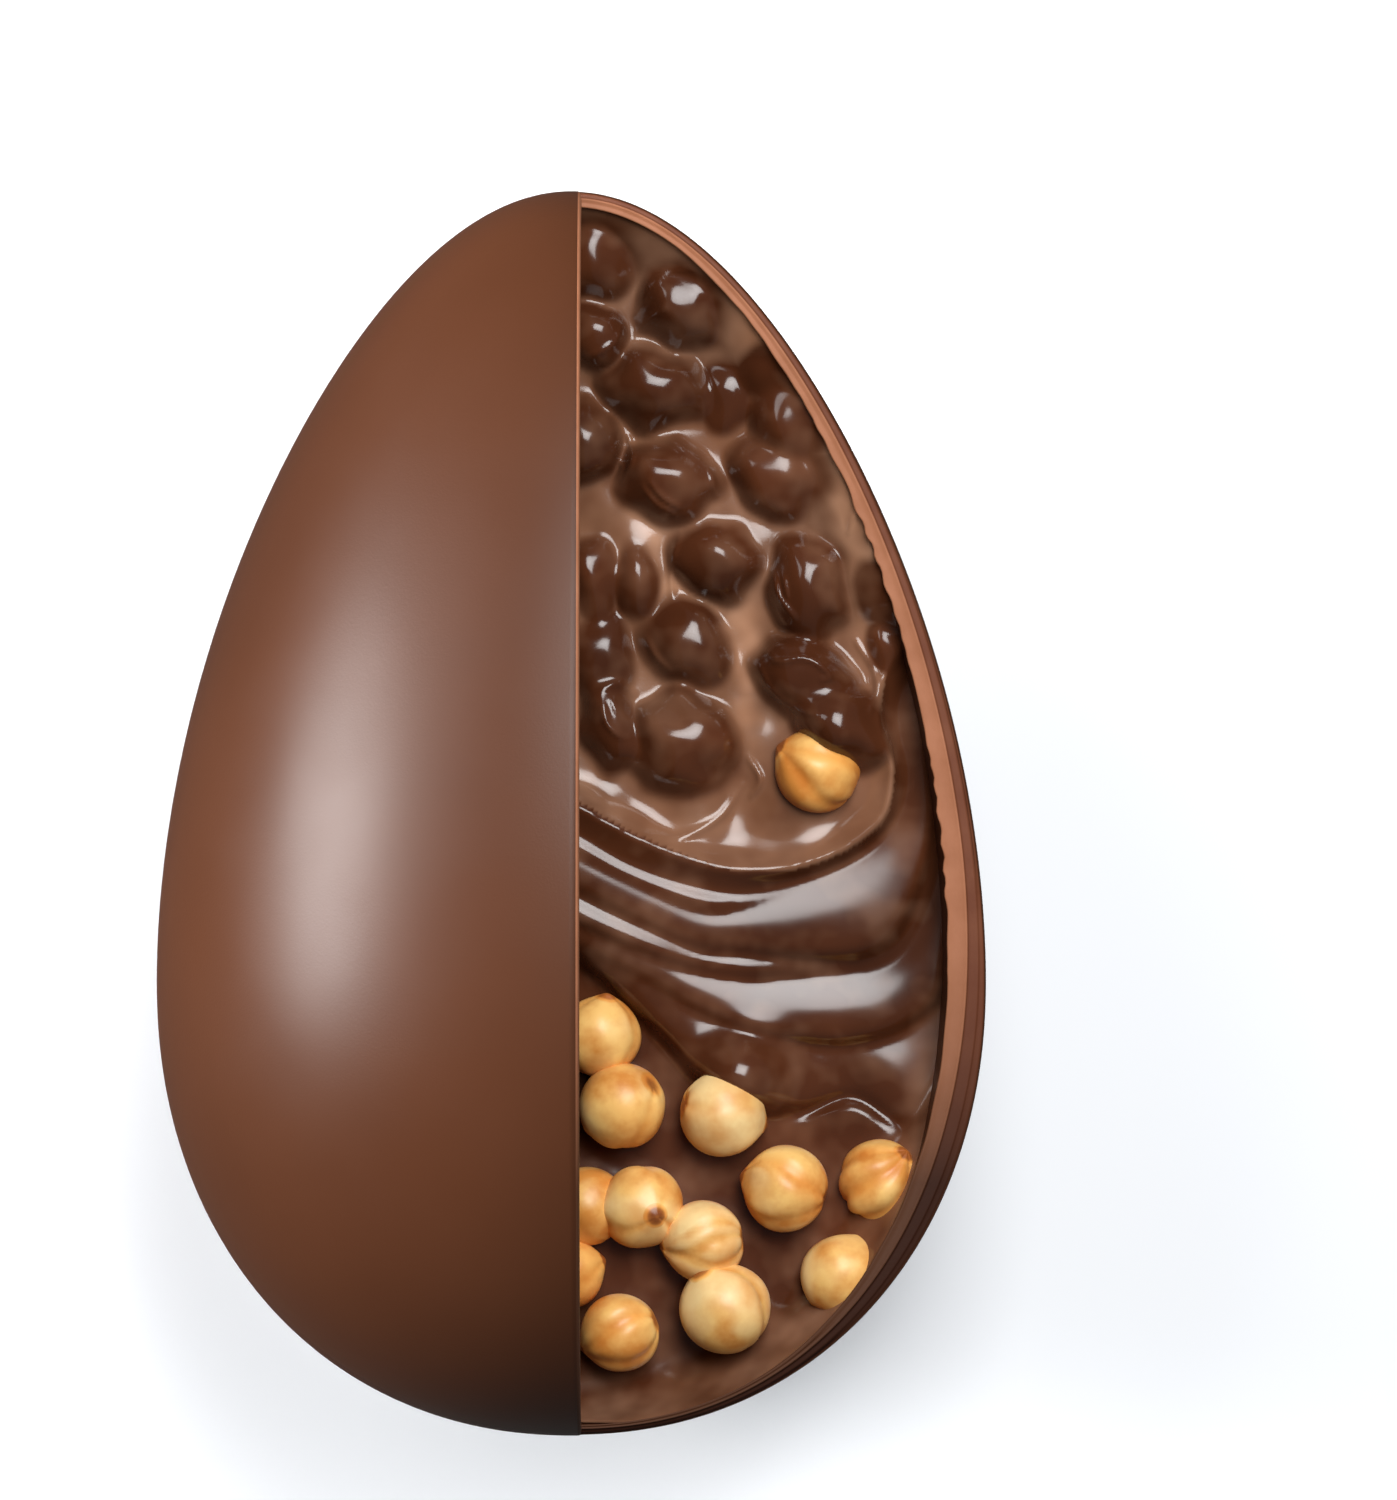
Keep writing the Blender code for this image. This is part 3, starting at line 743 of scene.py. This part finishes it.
def nut_form(width, brown, grooves, seed):
    """A kernel with grooves, a pointed tip along local +X and a scar at the base.

    Also gives how brown each point is.
    """
    random = np.random.default_rng(seed)
    around, lon = np.meshgrid(
        np.linspace(0, math.pi, NUT_RINGS + 1)[1:-1],
        np.linspace(0, 2 * math.pi, NUT_SEGMENTS, endpoint=False),
        indexing="ij",
    )
    towards, sideways = np.cos(around), np.sin(around)
    size = 1 + 0.02 * np.sin(2 * lon + random.uniform(0, 6)) * sideways
    size = size + 0.012 * np.sin(5 * lon + 3 * towards + random.uniform(0, 6)) * sideways
    hollow = np.zeros_like(lon)
    for place, depth in grooves:
        bend = math.radians(place) + GROOVE_BEND * towards * random.choice((-1, 1))
        away = np.abs((lon - bend + math.pi) % (2 * math.pi) - math.pi)
        groove = np.exp(-((away / GROOVE_WIDTH) ** 2)) * sideways**0.7
        shoulder = np.exp(-(((away - SHOULDER_AT) / SHOULDER_WIDTH) ** 2)) * sideways
        hollow = hollow + groove * depth / DEEP_GROOVE
        size = size - depth * groove + 0.5 * depth * shoulder
    tip = np.exp(-(((1 - towards) / TIP_SPREAD) ** 0.8))
    scar = np.exp(-(((1 + towards) / SCAR_SPREAD) ** 1.5))
    length = KERNEL_REACH * towards * size + TIP_LENGTH * tip + SCAR_DEPTH * scar
    body = np.stack([length, sideways * size * np.cos(lon), sideways * size * np.sin(lon)], 2).reshape(-1, 3)
    ends = np.array([[KERNEL_REACH + TIP_LENGTH, 0, 0], [SCAR_DEPTH - KERNEL_REACH, 0, 0]])
    eye = soft_step(1 - towards, 0.045, 0.012)
    roast_and_shade = 1.0 * eye + 0.8 * scar + 0.25 * hollow + 0.35 * brown
    roast_and_shade = np.concatenate([roast_and_shade.reshape(-1), [1.0, 0.9]])
    return np.concatenate([body, ends]) * width / 2, roast_and_shade


def kept_in_wall(points):
    """A nut that leans on the wall ends inside it, halfway through."""
    out = np.hypot(points[:, 0], points[:, 2])
    limit = radius_at(points[:, 1], 0.5)
    share = np.minimum(limit / np.maximum(out, 0.1), 1)
    return points * np.stack([share, np.ones_like(share), share], 1)


def make_nut(finish, number, across, along, height, width, tip_turn, tip_lift, brown, grooves):
    points, roast_and_shade = nut_form(width, brown, grooves, 40 + number)
    rings, segments = NUT_RINGS - 1, NUT_SEGMENTS
    faces = [tuple(reversed(face)) for face in grid_faces(rings, segments, closed_columns=True)]
    top, bottom = len(points) - 2, len(points) - 1
    faces += [(top, i, (i + 1) % segments) for i in range(segments)]
    last = (rings - 1) * segments
    faces += [(bottom, last + (i + 1) % segments, last + i) for i in range(segments)]
    lift, turn = math.radians(tip_lift), math.radians(tip_turn)
    lifted = np.array([[math.cos(lift), 0, -math.sin(lift)], [0, 1, 0], [math.sin(lift), 0, math.cos(lift)]])
    turned = np.array([[math.cos(turn), -math.sin(turn), 0], [math.sin(turn), math.cos(turn), 0], [0, 0, 1]])
    points = points @ (turned @ lifted).T
    points[:, 2] *= NUT_FLATNESS
    # painted shade: each nut's lower side, where it sits in the cream, is browner
    roast_and_shade = roast_and_shade + 0.35 * soft_step(points[:, 2] / width, 0.15, -0.25)
    points = kept_in_wall(points + (across, along, height))
    node = f"hazelnut_{number:02d}"
    piece = new_piece(f"bare_{node}", points, faces, [node], [finish])
    paint(piece, "roast_and_shade", roast_and_shade)
    return piece


# ---------------------------------------------------------------------- materials


def srgb(red, green, blue):
    """A colour given as 0 to 255 display values, in the linear values that shaders take."""
    values = [v / 255 for v in (red, green, blue)]
    return (*[v / 12.92 if v <= 0.04045 else ((v + 0.055) / 1.055) ** 2.4 for v in values], 1)


class Nodes:
    """Short forms for building a material's nodes."""

    def __init__(self, name):
        self.material = bpy.data.materials.new(name)
        self.material.use_nodes = True
        self.tree = self.material.node_tree
        self.shader = self.tree.nodes["Principled BSDF"]

    def add(self, kind, **settings):
        node = self.tree.nodes.new(kind)
        for key, value in settings.items():
            if key in node.inputs:
                node.inputs[key].default_value = value
            else:
                setattr(node, key, value)
        return node

    def link(self, output, target):
        self.tree.links.new(output, target)

    def place(self):
        return self.add("ShaderNodeTexCoord").outputs["Object"]

    def noise(self, scale, detail=3.0, roughness=0.5):
        node = self.add("ShaderNodeTexNoise", Scale=scale, Detail=detail, Roughness=roughness)
        self.link(self.place(), node.inputs["Vector"])
        return node.outputs["Fac"]

    def ramp(self, value, *stops):
        node = self.add("ShaderNodeValToRGB")
        elements = node.color_ramp.elements
        while len(elements) < len(stops):
            elements.new(0.5)
        for element, (position, colour) in zip(elements, stops):
            element.position = position
            element.color = colour
        self.link(value, node.inputs["Fac"])
        return node.outputs["Color"]

    def amount(self, name):
        """The amount painted on the piece's points."""
        return self.add("ShaderNodeAttribute", attribute_name=name).outputs["Fac"]

    def sum(self, first, second):
        node = self.add("ShaderNodeMath", operation="ADD", use_clamp=True)
        self.link(first, node.inputs[0])
        self.link(second, node.inputs[1])
        return node.outputs[0]

    def mix(self, share, first, second):
        node = self.add("ShaderNodeMix", data_type="RGBA")
        self.link(share, node.inputs["Factor"])
        self.link(first, node.inputs[6])  # the inputs and the output named A, B and Result for a colour
        self.link(second, node.inputs[7])
        return node.outputs[2]

    def bump(self, height, strength, distance):
        node = self.add("ShaderNodeBump", Strength=strength, Distance=distance)
        self.link(height, node.inputs["Height"])
        self.link(node.outputs["Normal"], self.shader.inputs["Normal"])

    def spread(self, value, low, high, start=0.3, end=0.7):
        """This value, which runs from start to end, moved to run from low to high."""
        node = self.add("ShaderNodeMapRange")
        node.inputs["From Min"].default_value = start
        node.inputs["From Max"].default_value = end
        node.inputs["To Min"].default_value = low
        node.inputs["To Max"].default_value = high
        self.link(value, node.inputs["Value"])
        return node.outputs["Result"]


def shell_material():
    made = Nodes("milk_chocolate")
    tint = made.ramp(made.noise(14), (0.3, srgb(69, 38, 22)), (0.7, srgb(77, 43, 25)))
    made.link(tint, made.shader.inputs["Base Color"])
    made.shader.inputs["Specular IOR Level"].default_value = 0.24
    made.link(made.spread(made.noise(60), 0.35, 0.40), made.shader.inputs["Roughness"])
    made.bump(made.noise(2600, 2.0), 0.14, 0.0001)
    return made.material


def rim_material(name, dark, light):
    """Cut chocolate, with painted shade that darkens it towards the blunt end."""
    made = Nodes(name)
    tint = made.ramp(made.noise(180), (0.3, dark), (0.7, light))
    along = made.add("ShaderNodeSeparateXYZ")
    made.link(made.place(), along.inputs["Vector"])
    # painted shade: the colour darkens towards the blunt end
    blunt = made.spread(along.outputs["Y"], 1.0, 0.0, *PAINTED_BLUNT_SHADE_ALONG)
    painted_shade = made.ramp(blunt, (0.0, dark), (1.0, (*[PAINTED_BLUNT_SHADE * v for v in dark[:3]], 1)))
    made.link(made.mix(blunt, tint, painted_shade), made.shader.inputs["Base Color"])
    made.shader.inputs["Roughness"].default_value = 0.55
    made.shader.inputs["Specular IOR Level"].default_value = 0.25
    made.bump(made.noise(1500, 3.0), 0.2, 0.0001)
    return made.material


def cream_material():
    made = Nodes("nut_cream")
    dark = made.ramp(made.noise(45), (0.3, srgb(64, 32, 17)), (0.7, srgb(90, 49, 29)))
    light = made.ramp(made.noise(60), (0.3, srgb(164, 116, 86)), (0.7, srgb(196, 150, 120)))
    streaks = made.spread(made.noise(110, 2.0, 0.6), -0.12, 0.16)
    # the pale paste, with painted light and a painted reflection on the banks by the wall
    share = made.sum(made.amount("pale"), streaks)
    made.link(made.mix(share, dark, light), made.shader.inputs["Base Color"])
    made.link(made.spread(made.noise(70), 0.11, 0.19), made.shader.inputs["Roughness"])
    made.bump(made.noise(260, 1.0), 0.05, 0.0002)
    return made.material


def nut_material():
    made = Nodes("roasted_hazelnut")
    pale = made.ramp(made.noise(120, 4.0), (0.36, srgb(230, 172, 104)), (0.62, srgb(252, 218, 154)))
    speckle = made.ramp(made.noise(160, 4.0), (0.36, srgb(214, 142, 66)), (0.62, srgb(249, 202, 122)))
    orange = made.ramp(made.noise(160, 4.0), (0.36, srgb(214, 130, 54)), (0.62, srgb(238, 168, 84)))
    brown = made.ramp(made.noise(220, 4.0), (0.3, srgb(120, 62, 28)), (0.7, srgb(176, 100, 44)))
    # how brown each point is: its roast, with painted shade on the nut's lower side
    roast_and_shade = made.amount("roast_and_shade")
    mottle = made.spread(made.noise(75, 2.0), -0.10, 0.10, 0.35, 0.65)
    skin = made.sum(roast_and_shade, mottle)
    light = made.mix(made.spread(skin, 0, 1, 0.04, 0.16), pale, speckle)
    warm = made.mix(made.spread(skin, 0, 1, 0.12, 0.40), light, orange)
    tint = made.mix(made.spread(roast_and_shade, 0, 1, 0.5, 1.1), warm, brown)
    made.link(tint, made.shader.inputs["Base Color"])
    made.shader.inputs["Roughness"].default_value = 0.36
    made.bump(made.noise(700, 3.0), 0.15, 0.0002)
    return made.material


def floor_material():
    made = Nodes("pale_floor")
    made.shader.inputs["Base Color"].default_value = (0.85, 0.87, 0.90, 1)
    made.shader.inputs["Emission Color"].default_value = (0.90, 0.94, 1.0, 1)
    made.shader.inputs["Emission Strength"].default_value = 0.08
    made.shader.inputs["Roughness"].default_value = 0.6
    return made.material


# ---------------------------------------------------------------------- studio


def make_floor():
    bpy.ops.mesh.primitive_plane_add(size=6, location=(0, 0, 0))
    floor = bpy.context.object
    floor.name = "studio_floor"
    floor.data.materials.append(floor_material())
    floor.visible_glossy = False  # the bright floor neither lights the egg nor shows in its gloss
    floor.visible_diffuse = False


def make_light(name, place, target, size, power, spread):
    light = bpy.data.lights.new(name, "AREA")
    light.shape = "RECTANGLE"
    light.size, light.size_y = size
    light.energy = power
    light.spread = math.radians(spread)
    lamp = bpy.data.objects.new(name, light)
    bpy.context.scene.collection.objects.link(lamp)
    lamp.location = place
    lamp.rotation_euler = (Vector(target) - Vector(place)).to_track_quat("-Z", "Y").to_euler()
    lamp.visible_camera = False
    return lamp


def make_camera():
    """Looks straight down on the opened side from 3 m, a little off the egg's middle."""
    away = 3.0
    seen_height = 0.2351
    middle = (0.0199, 0.0099)
    camera = bpy.data.cameras.new("camera")
    camera.sensor_width = 36
    camera.lens = camera.sensor_width * away / seen_height
    camera.clip_end = 20
    holder = bpy.data.objects.new("camera", camera)
    bpy.context.scene.collection.objects.link(holder)
    holder.location = (*middle, RIM_HEIGHT * MM + away)
    holder.rotation_euler = (0, 0, 0)
    bpy.context.scene.camera = holder


def make_studio():
    make_floor()
    centre = (0, 0, RIM_HEIGHT * MM)
    make_light("left_strip", (-0.93, 0.22, 0.36), centre, (0.85, 0.68), 3.9, 40)
    make_light("left_fill", (-0.80, 0.52, 0.85), centre, (0.80, 0.60), 1.4, 90)
    panel = make_light("overhead_panel", (0.40, 0.26, 1.40), centre, (0.50, 0.60), 3.0, 120)
    panel.visible_glossy = False  # its mirror image would lie on the cream as a grey patch
    make_light("far_window", (0.22, 0.62, 1.08), centre, (0.60, 0.72), 3.6, 90)
    world = bpy.data.worlds.new("studio")
    bpy.context.scene.world = world
    world.use_nodes = True
    world.node_tree.nodes["Background"].inputs["Color"].default_value = (1, 1, 1, 1)
    world.node_tree.nodes["Background"].inputs["Strength"].default_value = 0.09
    bpy.context.scene.view_settings.view_transform = "Standard"


# ---------------------------------------------------------------------- the whole


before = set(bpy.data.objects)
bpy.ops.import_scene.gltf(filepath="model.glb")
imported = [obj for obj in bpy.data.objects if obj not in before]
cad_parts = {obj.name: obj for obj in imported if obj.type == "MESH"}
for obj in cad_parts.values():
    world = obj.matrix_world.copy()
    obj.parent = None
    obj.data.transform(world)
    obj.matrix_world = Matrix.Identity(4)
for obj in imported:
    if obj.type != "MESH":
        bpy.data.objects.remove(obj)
CAD_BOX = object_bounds()
LENGTH = (CAD_BOX[1][1] - CAD_BOX[0][1]) / MM
WIDTH = 2 * max(abs(CAD_BOX[0][0]), CAD_BOX[1][0]) / MM
RIM_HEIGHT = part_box("shell_back")[1].z / MM
WIDEST_AT = WIDEST_SHARE * LENGTH
ALONGS = np.linspace(1.9, LENGTH - 2.4, 390)

shell_finish = shell_material()
rim_finish = rim_material("cut_chocolate", srgb(158, 102, 72), srgb(172, 114, 84))
band_finish = rim_material("cut_chocolate_band", srgb(104, 57, 37), srgb(116, 68, 46))
make_back_shell(shell_finish, rim_finish, band_finish)
make_front_shell(shell_finish, rim_finish)
make_cream(cream_material())
nut_finish = nut_material()
for nut in NUTS:
    make_nut(nut_finish, *nut)
make_camera()
make_studio()
